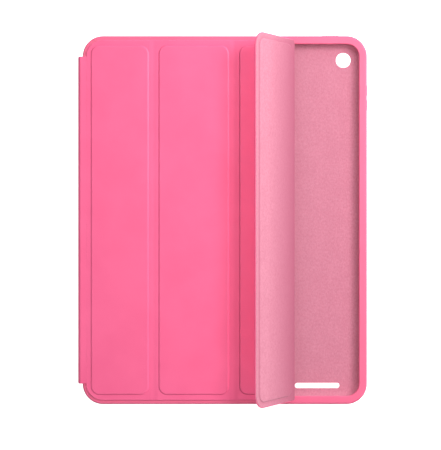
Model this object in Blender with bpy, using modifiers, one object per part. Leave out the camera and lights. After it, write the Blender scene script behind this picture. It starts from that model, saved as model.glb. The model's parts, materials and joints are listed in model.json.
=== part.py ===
"""Folio case for a 9.7 inch tablet: a moulded tray, a spine and a cover of four hinged panels.

The case lies on its back. The origin is the centre of the tray's flat back, +Z up, +Y towards the
tablet's top edge, +X towards the cover's free edge. Panel 4 is folded back, so its lining shows.
Every piece is modelled with the cover closed and flat, then hangs on the empties that stand on the
fold lines, and the last fold turns panel 4 to its half-open place.
"""

import math

import bmesh
import bpy
from mathutils import Matrix, Vector

MM = 0.001
SMOOTH_ANGLE = math.radians(35)

# The tablet that the case is made for.
TABLET_HALF_X = 92.85 * MM
TABLET_HALF_Y = 120.6 * MM
TABLET_THICKNESS = 9.4 * MM

# Tray: outer skin, rigid core and soft lining, one inside the other.
SKIN = 0.40 * MM
CORE = 0.60 * MM
LINING = 0.20 * MM
PLY_GAP = 0.05 * MM
WALL = SKIN + CORE + LINING + 2 * PLY_GAP
TRAY_HALF_X = TABLET_HALF_X + WALL
TRAY_HALF_Y = TABLET_HALF_Y + WALL
TRAY_CORNER = 13.5 * MM
TRAY_TOP = TABLET_THICKNESS + 2 * WALL
BACK_EDGE_R = 8.0 * MM
LIP_EDGE_R = 1.2 * MM
LIP_WIDTH = 5.4 * MM
OPENING_EDGE_R = 0.6 * MM
CORNER_STEPS = 7
BACK_EDGE_STEPS = 5
LIP_STEPS = 3

# Openings and pads in the tray wall, where the tablet has its controls.
CONTROL_Z = 8.7 * MM
SOCKET_Z = 7.0 * MM
WALL_CUT = 6.0 * MM
SLOT_ROUNDING = 0.98
PAD_GAP = 0.25 * MM
PAD_PROUD = 0.35 * MM
PAD_HEIGHT = 3.2 * MM
SLEEP_PAD_X, SLEEP_PAD_LENGTH = 70.0 * MM, 12.0 * MM
VOLUME_PADS_Y, VOLUME_PAD_LENGTH = (86.0 * MM, 76.4 * MM), 8.0 * MM
SWITCH_SLOT_Y, SWITCH_SLOT_LENGTH = 99.5 * MM, 9.0 * MM
CAMERA_X, CAMERA_Y, CAMERA_R = 79.5 * MM, 107.2 * MM, 5.0 * MM
HEADPHONE_X, HEADPHONE_R = -70.0 * MM, 2.9 * MM
MICROPHONE_R = 0.9 * MM
CONNECTOR_LENGTH, CONNECTOR_HEIGHT = 30.0 * MM, 4.6 * MM
SPEAKER_X, SPEAKER_Y = 62.0 * MM, -111.0 * MM
SPEAKER_LENGTH, SPEAKER_WIDTH = 30.0 * MM, 3.6 * MM

# Cover: a sheet with four raised panels, each a stiff board between skin and lining.
COVER_GAP = 0.15 * MM
PANEL_THICKNESS = 2.2 * MM
PANEL_SKIN = 0.5 * MM
PANEL_LINING = 0.4 * MM
BOARD_GAP = 0.10 * MM
SHEET_THICKNESS = 1.2 * MM
COVER_BOTTOM = TRAY_TOP + COVER_GAP
COVER_TOP = COVER_BOTTOM + PANEL_THICKNESS
SHEET_MID = COVER_BOTTOM + PANEL_THICKNESS / 2
SHEET_HALF_Y = 119.0 * MM
PANEL_HALF_Y = 115.5 * MM
PANEL_CORNER = 5.8 * MM
STEP_SLOPE = 0.5
PANEL_BORDER = 0.6 * MM
COVER_LEFT = -91.65 * MM
COVER_RIGHT = 91.65 * MM
SPINE_SIDE_CORNER = 11.0 * MM
FREE_CORNER = 9.3 * MM
SQUARE_CORNER = 0.3 * MM
RAISED = {
    1: (-88.6 * MM, -50.0 * MM),
    2: (-43.9 * MM, 2.9 * MM),
    3: (9.3 * MM, 42.1 * MM),
    4: (48.3 * MM, 88.3 * MM),
}
BOARD_INSET = 1.0 * MM
WEB_GAP = 0.15 * MM
WEB_THICKNESS = 1.1 * MM
WEB_STEPS = 10
FOLD_RISE = 0.45 * MM

# The last fold at rest: how far panel 4 is turned back from flat.
REST_FOLD = math.radians(125.0)

# Magnets in the last panel hold the cover shut and the steel strip takes them when it is a stand.
MAGNET_THICKNESS = 0.9 * MM
MAGNET_RADIUS = 2.6 * MM
MAGNET_POCKET_GAP = 0.3 * MM
DISC_SEGMENTS = 20
LATCH_MAGNET_X = 83.2 * MM
LATCH_MAGNETS_Y = [y * MM for y in (-100.0, -62.0, -22.0, 22.0, 62.0, 100.0)]
SENSOR_MAGNET_X, SENSOR_MAGNET_Y, SENSOR_MAGNET_R = 76.0 * MM, 40.0 * MM, 4.0 * MM
STRIP_X, STRIP_WIDTH, STRIP_LENGTH = -37.5 * MM, 6.0 * MM, 200.0 * MM

# Spine and the two hinges that join it to the tray's back and to the cover.
SPINE_OUTER_X = -97.3 * MM
SPINE_GAP = 0.3 * MM
SPINE_HALF_Y = 107.7 * MM
SPINE_PLY_GAP = 0.10 * MM
SPINE_SKIN = 0.5 * MM
SPINE_LINING = 0.35 * MM
STRIP_REACH = 2.8 * MM
STRIP_THICKNESS = 0.8 * MM
HINGE_CLEARANCE = 0.45 * MM
COVER_BEND_R = 2.5 * MM
BEND_STEPS = 6
# The flange leaves the back this far in from the wall and meets the back edge's curve.
FLANGE_ROOT = 6.65 * MM
FLANGE_GRIP = 2.7 * MM
FLANGE_GRIP_Z = 1.15 * MM

PINK = (0.98, 0.16, 0.33)
SOFT_PINK = (0.88, 0.30, 0.44)
WHITE_PLASTIC = (0.72, 0.72, 0.72)
BOARD_GREY = (0.30, 0.30, 0.31)
STEEL = (0.56, 0.57, 0.58)
NICKEL = (0.72, 0.70, 0.66)


def clear_scene():
    for obj in list(bpy.data.objects):
        bpy.data.objects.remove(obj, do_unlink=True)


def new_collection(name):
    collection = bpy.data.collections.new(name)
    bpy.context.scene.collection.children.link(collection)
    return collection


def material(name, colour, roughness, metallic=0.0):
    made = bpy.data.materials.new(name)
    made.use_nodes = True
    shader = made.node_tree.nodes["Principled BSDF"]
    shader.inputs["Base Color"].default_value = (*colour, 1.0)
    shader.inputs["Roughness"].default_value = roughness
    shader.inputs["Metallic"].default_value = metallic
    return made


def object_from(bm, name, collection, finish=None, closed=True):
    """Turns a bmesh into a named object. A closed one gets its normals pointing out."""
    if closed:
        bmesh.ops.recalc_face_normals(bm, faces=bm.faces)
    mesh = bpy.data.meshes.new(name)
    bm.to_mesh(mesh)
    bm.free()
    mesh.shade_smooth()
    mesh.set_sharp_from_angle(angle=SMOOTH_ANGLE)
    made = bpy.data.objects.new(name, mesh)
    collection.objects.link(made)
    if finish:
        mesh.materials.append(finish)
    return made


def outline(x_range, y_range, corners, steps=CORNER_STEPS):
    """Points of a rectangle with rounded corners, anticlockwise from the right side's lower corner.

    corners gives the radii at lower right, upper right, upper left and lower left.
    """
    places = ((1, 0, -90), (1, 1, 0), (0, 1, 90), (0, 0, 180))
    points = []
    for (side_x, side_y, start), radius in zip(places, corners):
        centre_x = x_range[side_x] + (radius if side_x == 0 else -radius)
        centre_y = y_range[side_y] + (radius if side_y == 0 else -radius)
        for step in range(steps + 1):
            angle = math.radians(start + 90 * step / steps)
            points.append((centre_x + radius * math.cos(angle), centre_y + radius * math.sin(angle)))
    return points


def loft(bm, rings, cap_start=True, cap_end=True):
    """Skins a list of closed rings of equal length, each a list of (x, y, z)."""
    loops = [[bm.verts.new(point) for point in ring] for ring in rings]
    count = len(loops[0])
    for lower, upper in zip(loops, loops[1:]):
        for i in range(count):
            j = (i + 1) % count
            bm.faces.new((lower[i], lower[j], upper[j], upper[i]))
    if cap_start:
        bm.faces.new(list(reversed(loops[0])))
    if cap_end:
        bm.faces.new(loops[-1])


def arc(centre, radius, start, end, steps):
    """(u, v) points on an arc, with angles in degrees."""
    points = []
    for step in range(steps + 1):
        angle = math.radians(start + (end - start) * step / steps)
        points.append((centre[0] + radius * math.cos(angle), centre[1] + radius * math.sin(angle)))
    return points


def tray_section(offset, reach, wraps_opening):
    """The tray's wall in section, as (inset from the outer wall, height), offset inwards.

    It runs from the flat back, round the back edge, up the wall and over the lip.
    """
    section = arc((BACK_EDGE_R, BACK_EDGE_R), BACK_EDGE_R - offset, 270, 180, BACK_EDGE_STEPS)
    lip_centre = (LIP_EDGE_R, TRAY_TOP - LIP_EDGE_R)
    section += arc(lip_centre, LIP_EDGE_R - offset, 180, 90, LIP_STEPS)
    if wraps_opening:
        edge_centre = (reach - OPENING_EDGE_R, TRAY_TOP - OPENING_EDGE_R)
        section += arc(edge_centre, OPENING_EDGE_R, 90, 0, LIP_STEPS)
        section.append((reach, TRAY_TOP - WALL + PLY_GAP))
    else:
        section.append((reach, TRAY_TOP - offset))
    return section


def tray_ply(name, offset, thickness, reach, wraps_opening, collection, finish):
    """One layer of the tray: an open cup that Solidify thickens towards the tablet."""
    rings = []
    for inset, height in tray_section(offset, reach, wraps_opening):
        half_x = TRAY_HALF_X - inset
        half_y = TRAY_HALF_Y - inset
        flat = outline((-half_x, half_x), (-half_y, half_y), [TRAY_CORNER - inset] * 4)
        rings.append([(x, y, height) for x, y in flat])
    bm = bmesh.new()
    loft(bm, rings, cap_start=True, cap_end=False)
    ply = object_from(bm, name, collection, finish, closed=False)
    thicken = ply.modifiers.new("Thickness", "SOLIDIFY")
    thicken.thickness = thickness
    thicken.offset = -1.0
    thicken.use_even_offset = True
    return ply


def slot(name, length, height, depth, centre, facing, collection):
    """A round-ended slug of the given length and height, standing along the facing axis."""
    half_length = length / 2
    half_height = height / 2
    corners = [half_height * SLOT_ROUNDING] * 4
    flat = outline((-half_length, half_length), (-half_height, half_height), corners)
    bm = bmesh.new()
    loft(bm, [[(x, y, z) for x, y in flat] for z in (-depth / 2, depth / 2)])
    turn = Vector((0, 0, 1)).rotation_difference(Vector(facing)).to_matrix().to_4x4()
    if abs(facing[0]) > 0.5:
        turn = turn @ Matrix.Rotation(math.radians(90), 4, "Z")
    bmesh.ops.transform(bm, matrix=Matrix.Translation(centre) @ turn, verts=bm.verts)
    return object_from(bm, name, collection)


def tray_cutters(collection):
    """Slugs for every opening in the tray: connector, speaker, camera, sockets, switch and pads."""
    right = (TRAY_HALF_X, 0, CONTROL_Z)
    top = (0, TRAY_HALF_Y, CONTROL_Z)
    wall_slots = [
        ("sleep_window", SLEEP_PAD_LENGTH, PAD_HEIGHT, (SLEEP_PAD_X, top[1], top[2]), (0, 1, 0)),
        ("switch_window", SWITCH_SLOT_LENGTH, PAD_HEIGHT, (right[0], SWITCH_SLOT_Y, right[2]), (1, 0, 0)),
        ("headphone_hole", 2 * HEADPHONE_R, 2 * HEADPHONE_R, (HEADPHONE_X, top[1], SOCKET_Z), (0, 1, 0)),
        ("microphone_hole", 2 * MICROPHONE_R, 2 * MICROPHONE_R, top, (0, 1, 0)),
        ("connector_slot", CONNECTOR_LENGTH, CONNECTOR_HEIGHT, (0, -top[1], SOCKET_Z), (0, 1, 0)),
    ]
    for number, pad_y in enumerate(VOLUME_PADS_Y, 1):
        place = (right[0], pad_y, right[2])
        wall_slots.append((f"volume_window_{number}", VOLUME_PAD_LENGTH, PAD_HEIGHT, place, (1, 0, 0)))
    back_slots = [
        ("camera_hole", 2 * CAMERA_R, 2 * CAMERA_R, (CAMERA_X, CAMERA_Y, 0), (0, 0, 1)),
        ("speaker_slot", SPEAKER_LENGTH, SPEAKER_WIDTH, (SPEAKER_X, SPEAKER_Y, 0), (0, 0, 1)),
    ]
    cutters = []
    for name, length, height, place, facing in wall_slots + back_slots:
        cutter = slot("cut_" + name, length, height, WALL_CUT, place, facing, collection)
        cutter.hide_render = True
        cutter.display_type = "WIRE"
        cutters.append(cutter)
    return cutters


def cut(target, cutters):
    for cutter in cutters:
        hole = target.modifiers.new(cutter.name, "BOOLEAN")
        hole.operation = "DIFFERENCE"
        hole.solver = "EXACT"
        hole.object = cutter


def hinge_flange(collection):
    """The tongue of skin that leaves the tray's left back edge and carries the hinge."""
    root_x = -TRAY_HALF_X + FLANGE_ROOT
    grip_x = root_x - FLANGE_GRIP
    tip_x = strip_pivot().x + HINGE_CLEARANCE
    profile = [
        (tip_x, 0.0),
        (root_x, 0.0),
        (grip_x, FLANGE_GRIP_Z),
        (grip_x - STRIP_THICKNESS, STRIP_THICKNESS),
        (tip_x, STRIP_THICKNESS),
    ]
    bm = bmesh.new()
    loft(bm, [[(x, y, z) for x, z in profile] for y in (-SPINE_HALF_Y, SPINE_HALF_Y)])
    flange = object_from(bm, "hinge_flange_tool", collection)
    flange.hide_render = True
    flange.display_type = "WIRE"
    return flange


def build_tray(parts, tools, finishes):
    skin = tray_ply("tray_skin", 0.0, SKIN, LIP_WIDTH, True, parts, finishes["skin"])
    core_reach = LIP_WIDTH - OPENING_EDGE_R
    core = tray_ply("tray_core", SKIN + PLY_GAP, CORE, core_reach, False, parts, finishes["core"])
    lining_offset = WALL - LINING
    lining = tray_ply("tray_lining", lining_offset, LINING, core_reach, False, parts, finishes["lining"])
    cutters = tray_cutters(tools)
    for ply in (skin, core, lining):
        cut(ply, cutters)
    joined = skin.modifiers.new("Hinge flange", "BOOLEAN")
    joined.operation = "UNION"
    joined.solver = "EXACT"
    joined.object = hinge_flange(tools)


def wall_pad(name, length, centre, facing, collection, finish):
    """A press pad that fills its window in the tray wall, with a running gap all round."""
    depth = WALL + PAD_PROUD - PLY_GAP
    outward = Vector(facing)
    middle = Vector(centre) + outward * (PAD_PROUD - depth / 2)
    pad = slot(name, length - 2 * PAD_GAP, PAD_HEIGHT - 2 * PAD_GAP, depth, middle, facing, collection)
    pad.data.materials.append(finish)
    pad.data.transform(Matrix.Translation(-middle))
    pad.location = middle
    return pad


def build_pads(parts, finish):
    sleep_place = (SLEEP_PAD_X, TRAY_HALF_Y, CONTROL_Z)
    wall_pad("sleep_button_pad", SLEEP_PAD_LENGTH, sleep_place, (0, 1, 0), parts, finish)
    for name, pad_y in zip(("volume_up_pad", "volume_down_pad"), VOLUME_PADS_Y):
        place = (TRAY_HALF_X, pad_y, CONTROL_Z)
        wall_pad(name, VOLUME_PAD_LENGTH, place, (1, 0, 0), parts, finish)


def fold_x(left_panel):
    """The fold line between a panel and the next one: midway between their raised faces."""
    return (RAISED[left_panel][1] + RAISED[left_panel + 1][0]) / 2


def web_length(left_panel):
    return RAISED[left_panel + 1][0] - RAISED[left_panel][1]


def spine_x():
    """Middle of the spine's thickness."""
    inner = -TRAY_HALF_X - SPINE_GAP
    return (SPINE_OUTER_X + inner) / 2


def spine_pivot():
    """Axis between the hinge strip and the spine."""
    rise = STRIP_REACH * math.sin(math.radians(45))
    return Vector((spine_x(), 0, STRIP_THICKNESS / 2 + rise))


def strip_pivot():
    """Axis between the tray's hinge flange and the hinge strip."""
    run = STRIP_REACH * math.cos(math.radians(45))
    return Vector((spine_x() + run, 0, STRIP_THICKNESS / 2))


def cover_pivot():
    """Axis between spine and cover, where a bend of 90 degrees opens out to the same length."""
    shift = COVER_BEND_R * (1 - math.pi / 4)
    return Vector((spine_x() + shift, 0, SHEET_MID - shift))


def fold_pivot(left_panel):
    """Axis of a fold, just under the top of the sheet, so that the web folds tight."""
    return Vector((fold_x(left_panel), 0, SHEET_MID + FOLD_RISE))


def pivot_empty(name, place, parent, collection):
    empty = bpy.data.objects.new(name, None)
    empty.empty_display_type = "ARROWS"
    empty.empty_display_size = 0.01
    collection.objects.link(empty)
    empty.parent = parent
    empty["place"] = tuple(place)
    empty.location = Vector(place) - (Vector(parent["place"]) if parent else Vector())
    return empty


def hang(obj, pivot):
    """Parents a piece, modelled in its closed and flat place, to the empty on its fold line."""
    shift = Vector(pivot["place"])
    obj.data.transform(Matrix.Translation(-shift))
    obj.parent = pivot


def prism(name, x_range, y_range, z_range, collection, finish):
    bm = bmesh.new()
    bmesh.ops.create_cube(bm, size=1.0)
    size = Vector((x_range[1] - x_range[0], y_range[1] - y_range[0], z_range[1] - z_range[0]))
    middle = Vector((sum(x_range) / 2, sum(y_range) / 2, sum(z_range) / 2))
    bmesh.ops.scale(bm, vec=size, verts=bm.verts)
    bmesh.ops.translate(bm, vec=middle, verts=bm.verts)
    return object_from(bm, name, collection, finish)


def build_hinge_strip(parts, pivot, finish):
    half_length = STRIP_REACH / 2 - HINGE_CLEARANCE
    half = STRIP_THICKNESS / 2
    strip = prism("back_hinge_strip", (-half_length, half_length), (-SPINE_HALF_Y, SPINE_HALF_Y),
                  (-half, half), parts, finish)
    middle = (strip_pivot() + spine_pivot()) / 2
    turn = Matrix.Rotation(math.radians(45), 4, "Y")
    strip.data.transform(Matrix.Translation(middle) @ turn)
    hang(strip, pivot)


def build_spine(parts, pivot, finishes):
    """Outer skin, stiffener and inner lining of the spine, three plies standing side by side."""
    bottom = spine_pivot().z + HINGE_CLEARANCE
    top = SHEET_MID - COVER_BEND_R - WEB_GAP
    inner_x = -TRAY_HALF_X - SPINE_GAP
    skin_x = (SPINE_OUTER_X, SPINE_OUTER_X + SPINE_SKIN)
    lining_x = (inner_x - SPINE_LINING, inner_x)
    stiffener_x = (skin_x[1] + SPINE_PLY_GAP, lining_x[0] - SPINE_PLY_GAP)
    y_range = (-SPINE_HALF_Y, SPINE_HALF_Y)
    for name, x_range, finish in (
        ("spine_skin", skin_x, "skin"),
        ("spine_stiffener", stiffener_x, "board"),
        ("spine_lining", lining_x, "lining"),
    ):
        hang(prism(name, x_range, y_range, (bottom, top), parts, finishes[finish]), pivot)


def build_cover_hinge_web(parts, pivot, finish):
    """The bend of cover sheet from the spine's top over to panel 1."""
    centre = (spine_x() + COVER_BEND_R, SHEET_MID - COVER_BEND_R)
    half = WEB_THICKNESS / 2
    end_x = COVER_LEFT - WEB_GAP
    outer = arc(centre, COVER_BEND_R + half, 180, 90, BEND_STEPS) + [(end_x, SHEET_MID + half)]
    inner = arc(centre, COVER_BEND_R - half, 180, 90, BEND_STEPS) + [(end_x, SHEET_MID - half)]
    section = outer + list(reversed(inner))
    bm = bmesh.new()
    loft(bm, [[(x, y, z) for x, z in section] for y in (-SPINE_HALF_Y, SPINE_HALF_Y)])
    hang(object_from(bm, "cover_hinge_web", parts, finish), pivot)


def sheet_span(panel):
    """Left and right ends of a panel's sheet, and its corner radii."""
    left, right = RAISED[panel]
    left -= PANEL_BORDER
    right += PANEL_BORDER
    corners = [SQUARE_CORNER] * 4
    if panel == 1:
        left = COVER_LEFT
        corners = [SQUARE_CORNER, SQUARE_CORNER, SPINE_SIDE_CORNER, SPINE_SIDE_CORNER]
    if panel == 4:
        right = COVER_RIGHT
        corners = [FREE_CORNER, FREE_CORNER, SQUARE_CORNER, SQUARE_CORNER]
    return (left, right), corners


def formed_sheet(name, panel, border_z, face_z, thickness, collection, finish):
    """A sheet pressed over the board: flat border, sloped step and raised face.

    Solidify thickens it towards the board, so downwards if the raised face is on top.
    """
    x_range, corners = sheet_span(panel)
    border = outline(x_range, (-SHEET_HALF_Y, SHEET_HALF_Y), corners)
    left, right = RAISED[panel]
    foot = outline((left, right), (-PANEL_HALF_Y, PANEL_HALF_Y), [PANEL_CORNER] * 4)
    step = abs(face_z - border_z) * STEP_SLOPE
    face_y = PANEL_HALF_Y - step
    face = outline((left + step, right - step), (-face_y, face_y), [PANEL_CORNER - step] * 4)
    bm = bmesh.new()
    rings = [(border, border_z), (foot, border_z), (face, face_z)]
    loft(bm, [[(x, y, z) for x, y in flat] for flat, z in rings], cap_start=False)
    sheet = object_from(bm, name, collection, finish, closed=False)
    thicken = sheet.modifiers.new("Thickness", "SOLIDIFY")
    thicken.thickness = thickness
    thicken.offset = -1.0 if face_z > border_z else 1.0
    thicken.use_even_offset = True
    return sheet


def build_board(panel, collection, finish):
    """The stiff board inside a panel, a flat outline with half its thickness as the extrusion."""
    left, right = RAISED[panel]
    bottom = COVER_BOTTOM + PANEL_LINING + BOARD_GAP
    top = COVER_TOP - PANEL_SKIN - BOARD_GAP
    half_y = PANEL_HALF_Y - BOARD_INSET
    corners = [PANEL_CORNER - BOARD_INSET] * 4
    flat = outline((left + BOARD_INSET, right - BOARD_INSET), (-half_y, half_y), corners)
    bm = bmesh.new()
    loft(bm, [[(x, y, z) for x, y in flat] for z in (bottom, top)])
    return object_from(bm, f"panel_{panel}_board", collection, finish)


def build_panel(panel, parts, pivot, finishes):
    sheet_top = SHEET_MID + SHEET_THICKNESS / 2
    sheet_bottom = SHEET_MID - SHEET_THICKNESS / 2
    skin = formed_sheet(f"panel_{panel}_skin", panel, sheet_top, COVER_TOP, PANEL_SKIN,
                        parts, finishes["skin"])
    lining = formed_sheet(f"panel_{panel}_lining", panel, sheet_bottom, COVER_BOTTOM, PANEL_LINING,
                          parts, finishes["lining"])
    board = build_board(panel, parts, finishes["board"])
    for piece in (skin, lining, board):
        hang(piece, pivot)
    return board


def disc(name, radius, thickness, place, collection, finish=None):
    bm = bmesh.new()
    bmesh.ops.create_cone(bm, cap_ends=True, segments=DISC_SEGMENTS, radius1=radius, radius2=radius,
                          depth=thickness)
    bmesh.ops.translate(bm, vec=place, verts=bm.verts)
    return object_from(bm, name, collection, finish)


def hide_tool(obj, pivot):
    obj.hide_render = True
    obj.display_type = "WIRE"
    hang(obj, pivot)
    return obj


def build_magnets(board, parts, tools, pivot, finish):
    """Latch magnets along the free edge, and the one that the tablet's sensor looks for."""
    places = []
    for number, y in enumerate(LATCH_MAGNETS_Y, 1):
        places.append((f"latch_magnet_{number}", LATCH_MAGNET_X, y, MAGNET_RADIUS))
    places.append(("sensor_magnet", SENSOR_MAGNET_X, SENSOR_MAGNET_Y, SENSOR_MAGNET_R))
    pockets = []
    for name, x, y, radius in places:
        place = Vector((x, y, SHEET_MID))
        hang(disc(name, radius, MAGNET_THICKNESS, place, parts, finish), pivot)
        pocket = disc("cut_" + name, radius + MAGNET_POCKET_GAP, 2 * PANEL_THICKNESS, place, tools)
        pockets.append(hide_tool(pocket, pivot))
    cut(board, pockets)


def build_stand_strip(board, parts, tools, pivot, finish):
    """The steel strip in panel 2 that the latch magnets grip when the cover is folded to a stand."""
    half_width = STRIP_WIDTH / 2
    half_length = STRIP_LENGTH / 2
    half = MAGNET_THICKNESS / 2
    gap = MAGNET_POCKET_GAP
    x_range = (STRIP_X - half_width, STRIP_X + half_width)
    strip = prism("stand_strip", x_range, (-half_length, half_length), (SHEET_MID - half, SHEET_MID + half),
                  parts, finish)
    hang(strip, pivot)
    pocket_x = (x_range[0] - gap, x_range[1] + gap)
    pocket_y = (-half_length - gap, half_length + gap)
    pocket_z = (SHEET_MID - PANEL_THICKNESS, SHEET_MID + PANEL_THICKNESS)
    pocket = prism("cut_stand_strip", pocket_x, pocket_y, pocket_z, tools, None)
    cut(board, [hide_tool(pocket, pivot)])


def build_fold_web(left_panel, fold_angle, parts, pivot, finish):
    """The flexible web between two panels.

    Each part of it turns about the fold line by a share of the fold's angle at rest, and the share
    grows smoothly from 0 at the left panel to 1 at the right one.
    """
    axis = fold_pivot(left_panel)
    full = web_length(left_panel)
    margin = PANEL_BORDER + WEB_GAP
    upper, lower = [], []
    for step in range(WEB_STEPS + 1):
        along = margin + (full - 2 * margin) * step / WEB_STEPS
        share = along / full
        turned = fold_angle * share * share * (3 - 2 * share)
        from_axis = along - full / 2
        for side, points in ((WEB_THICKNESS / 2, upper), (-WEB_THICKNESS / 2, lower)):
            above_axis = side - FOLD_RISE
            x = axis.x + from_axis * math.cos(turned) - above_axis * math.sin(turned)
            z = axis.z + from_axis * math.sin(turned) + above_axis * math.cos(turned)
            points.append((x, z))
    section = upper + list(reversed(lower))
    bm = bmesh.new()
    loft(bm, [[(x, y, z) for x, z in section] for y in (-SHEET_HALF_Y, SHEET_HALF_Y)])
    web = object_from(bm, f"fold_web_{left_panel}{left_panel + 1}", parts, finish)
    hang(web, pivot)


def main():
    clear_scene()
    parts = new_collection("tablet_case")
    tools = new_collection("cutters")
    tools.hide_render = True
    finishes = {
        "skin": material("pink_polyurethane", PINK, 0.45),
        "lining": material("pink_microfibre", SOFT_PINK, 0.9),
        "core": material("tray_core_plastic", WHITE_PLASTIC, 0.5),
        "board": material("panel_board", BOARD_GREY, 0.6),
        "steel": material("strip_steel", STEEL, 0.35, 1.0),
        "magnet": material("magnet_nickel", NICKEL, 0.25, 1.0),
    }
    build_tray(parts, tools, finishes)
    build_pads(parts, finishes["skin"])

    back_hinge_axis = pivot_empty("back_hinge_axis", strip_pivot(), None, parts)
    spine_axis = pivot_empty("spine_axis", spine_pivot(), back_hinge_axis, parts)
    cover_axis = pivot_empty("cover_hinge_axis", cover_pivot(), spine_axis, parts)
    build_hinge_strip(parts, back_hinge_axis, finishes["skin"])
    build_spine(parts, spine_axis, finishes)
    build_cover_hinge_web(parts, spine_axis, finishes["skin"])

    panel_axis = cover_axis
    for panel in (1, 2, 3, 4):
        if panel > 1:
            axis_name = f"fold_{panel - 1}{panel}_axis"
            web_holder = panel_axis
            panel_axis = pivot_empty(axis_name, fold_pivot(panel - 1), panel_axis, parts)
            fold_angle = REST_FOLD if panel == 4 else 0.0
            build_fold_web(panel - 1, fold_angle, parts, web_holder, finishes["skin"])
        board = build_panel(panel, parts, panel_axis, finishes)
        if panel == 2:
            build_stand_strip(board, parts, tools, panel_axis, finishes["steel"])
        if panel == 4:
            build_magnets(board, parts, tools, panel_axis, finishes["magnet"])
            panel_axis.rotation_euler.y = -REST_FOLD


main()
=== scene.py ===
"""Looks of the folio tablet case: smooth skins, soft linings, bending folds, materials, light, camera.

The cover is one sheet. Its places are first worked out flat, as (along, y, above), where above is the
height over the sheet's middle, positive on the outer side. Bends then turn it about the joints' axes.
"""

import json
import math
from dataclasses import dataclass

import bmesh
import bpy
import numpy as np
from mathutils import Matrix, Vector

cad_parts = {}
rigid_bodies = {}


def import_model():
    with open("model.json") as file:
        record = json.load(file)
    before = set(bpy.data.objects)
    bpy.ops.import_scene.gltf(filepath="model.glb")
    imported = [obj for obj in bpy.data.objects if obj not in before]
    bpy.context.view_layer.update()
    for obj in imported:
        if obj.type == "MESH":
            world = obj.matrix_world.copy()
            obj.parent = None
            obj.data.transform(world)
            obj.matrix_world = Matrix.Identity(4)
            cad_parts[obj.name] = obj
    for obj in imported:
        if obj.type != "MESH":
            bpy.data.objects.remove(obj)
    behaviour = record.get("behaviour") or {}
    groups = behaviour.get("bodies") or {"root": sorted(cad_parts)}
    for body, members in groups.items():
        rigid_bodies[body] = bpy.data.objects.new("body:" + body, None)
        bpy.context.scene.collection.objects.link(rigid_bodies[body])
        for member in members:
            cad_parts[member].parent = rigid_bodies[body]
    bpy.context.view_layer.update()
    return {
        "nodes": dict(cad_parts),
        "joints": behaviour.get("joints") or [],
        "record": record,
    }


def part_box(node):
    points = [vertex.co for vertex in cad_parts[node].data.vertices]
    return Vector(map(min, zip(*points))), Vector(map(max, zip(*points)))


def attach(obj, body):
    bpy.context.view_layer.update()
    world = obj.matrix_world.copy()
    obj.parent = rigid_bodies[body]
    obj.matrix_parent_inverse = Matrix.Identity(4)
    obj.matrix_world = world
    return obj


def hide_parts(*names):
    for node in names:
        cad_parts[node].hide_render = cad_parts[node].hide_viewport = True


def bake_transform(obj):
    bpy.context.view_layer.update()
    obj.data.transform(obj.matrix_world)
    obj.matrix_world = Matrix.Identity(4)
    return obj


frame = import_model()

MM = 0.001
NODES = frame["nodes"]
JOINTS = {joint["name"]: joint for joint in frame["joints"]}


# ---------------------------------------------------------------- sizes from the frame

def joint_place(name):
    """A joint's axis as (x, z); every hinge axis runs along y."""
    x, _, z = JOINTS[name]["pos_m"]
    return np.array((x, z))


LAST_PANEL = 4
REST_FOLD = math.radians(JOINTS["fold_34"]["range_deg"][1])
LAST_FOLD = joint_place("fold_34")


def turned(points, angle, pivot):
    """(x, z) points turned about a pivot, positive from +x towards +z."""
    cos, sin = math.cos(angle), math.sin(angle)
    offset = np.asarray(points) - pivot
    return pivot + np.stack((offset[..., 0] * cos - offset[..., 1] * sin,
                             offset[..., 0] * sin + offset[..., 1] * cos), -1)


def flat_box(node):
    """(lowest, highest) corner of a CAD node with the last fold opened flat."""
    points = np.array([vertex.co for vertex in NODES[node].data.vertices])
    if node in frame["record"]["behaviour"]["bodies"][f"panel_{LAST_PANEL}"]:
        points[:, [0, 2]] = turned(points[:, [0, 2]], -REST_FOLD, LAST_FOLD)
    return points.min(0), points.max(0)


COVER_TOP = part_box("panel_1_skin")[1].z
COVER_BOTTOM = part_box("panel_1_lining")[0].z
SHEET_MID = (COVER_TOP + COVER_BOTTOM) / 2
FACE = (COVER_TOP - COVER_BOTTOM) / 2   # raised faces, over the sheet's middle
SHEET = 0.6 * MM                        # faces of the sheet between them
FOLD_RISE = LAST_FOLD[1] - SHEET_MID
BOARD_MARGIN = 1.0 * MM                 # from a board's edge to the foot of its raised face
SEAM = 0.15 * MM                        # from that foot to where a web starts
STEP_RUN = 1.0 * MM                     # width of the slope up to a raised face
STEP_RINGS = 7
STEP_CREASE = 1.6                       # painted crease shade is full after 1 / 1.6 of the slope
RAISED_CORNER = 5.8 * MM
SPINE_SIDE_CORNER = 11.0 * MM
FREE_CORNER = 9.3 * MM
SQUARE_CORNER = 0.05 * MM
CORNER_STEPS = 12
RIM_STEPS = 6
RIM_BEVEL = 0.06 * MM
SMOOTH_ANGLE = math.radians(38)


def raised_face(panel):
    """x and y ranges of a panel's raised face at its foot."""
    low, high = flat_box(f"panel_{panel}_board")
    return ((low[0] - BOARD_MARGIN, high[0] + BOARD_MARGIN),
            (low[1] - BOARD_MARGIN, high[1] + BOARD_MARGIN))


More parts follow.
